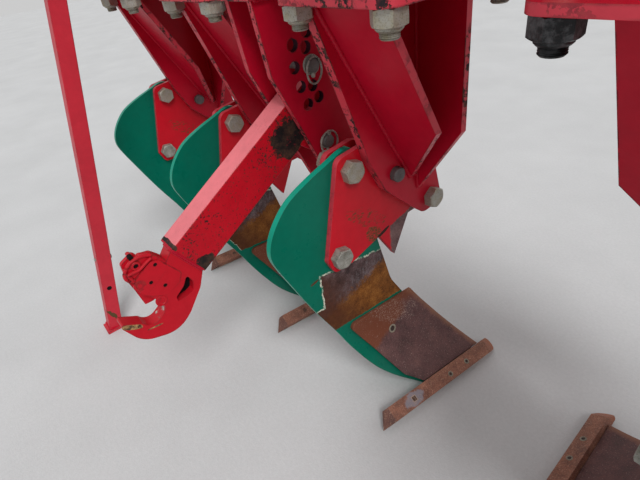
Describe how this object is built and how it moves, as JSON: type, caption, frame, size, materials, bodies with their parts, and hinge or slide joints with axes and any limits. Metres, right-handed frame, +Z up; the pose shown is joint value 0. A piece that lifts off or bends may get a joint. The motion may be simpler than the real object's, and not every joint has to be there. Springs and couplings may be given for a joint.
{
  "type": "mounted subsoiler with side-curved legs and rear hitch arms",
  "caption": "Mounted subsoiler: curved legs with wear plates and reversible points under a box beam, rear hook arms that lift, and sliding parking stands.",
  "frame": {"origin": "on the floor below the middle of the whole machine", "axes": "+X to the machine's right, +Y in the direction of travel, +Z up"},
  "size_m": [2.924, 0.967, 1.3968],
  "materials": {
    "red_paint": "worn gloss red paint",
    "green_paint": "worn green paint",
    "worn_steel": "rusty bare steel",
    "zinc": "dull zinc plating"
  },
  "bodies": {
    "frame": {"main_beam": "red_paint", "mast": "red_paint", "top_link_pin": "zinc", "holders_row_1": "red_paint", "carriers_row_1": "red_paint", "blades_row_1": "green_paint", "wear_plates_row_1": "worn_steel", "point_bars_row_1": "worn_steel", "holders_row_2": "red_paint", "carriers_row_2": "red_paint", "blades_row_2": "green_paint", "wear_plates_row_2": "worn_steel", "point_bars_row_2": "worn_steel", "holders_row_3": "red_paint", "carriers_row_3": "red_paint", "blades_row_3": "green_paint", "wear_plates_row_3": "worn_steel", "point_bars_row_3": "worn_steel", "clamp_plates": "red_paint", "beam_ends": "red_paint", "arm_brackets": "red_paint", "arm_pins": "zinc", "stand_sleeves": "red_paint", "hitch_plates": "red_paint", "hitch_pins": "zinc"},
    "arm_left": {"arm_tube_left": "red_paint", "hook_left": "red_paint", "hook_latch_left": "red_paint"},
    "stand_left": {"stand_leg_left": "red_paint"},
    "arm_right": {"arm_tube_right": "red_paint", "hook_right": "red_paint", "hook_latch_right": "red_paint"},
    "stand_right": {"stand_leg_right": "red_paint"}
  },
  "joints": [
    {"name": "arm_lift_left", "type": "hinge", "parent": "frame", "child": "arm_left", "pos_m": [-0.505, 0.0975, 0.72021], "axis": [-1, 0, 0], "range_deg": [0, 50]},
    {"name": "stand_slide_left", "type": "slide", "parent": "frame", "child": "stand_left", "axis": [0.0854, 0.2106, 0.9738], "range_m": [0, 0.6]},
    {"name": "arm_lift_right", "type": "hinge", "parent": "frame", "child": "arm_right", "pos_m": [0.505, 0.0975, 0.72021], "axis": [-1, 0, 0], "range_deg": [0, 50]},
    {"name": "stand_slide_right", "type": "slide", "parent": "frame", "child": "stand_right", "axis": [-0.0854, 0.2106, 0.9738], "range_m": [0, 0.6]}
  ]
}
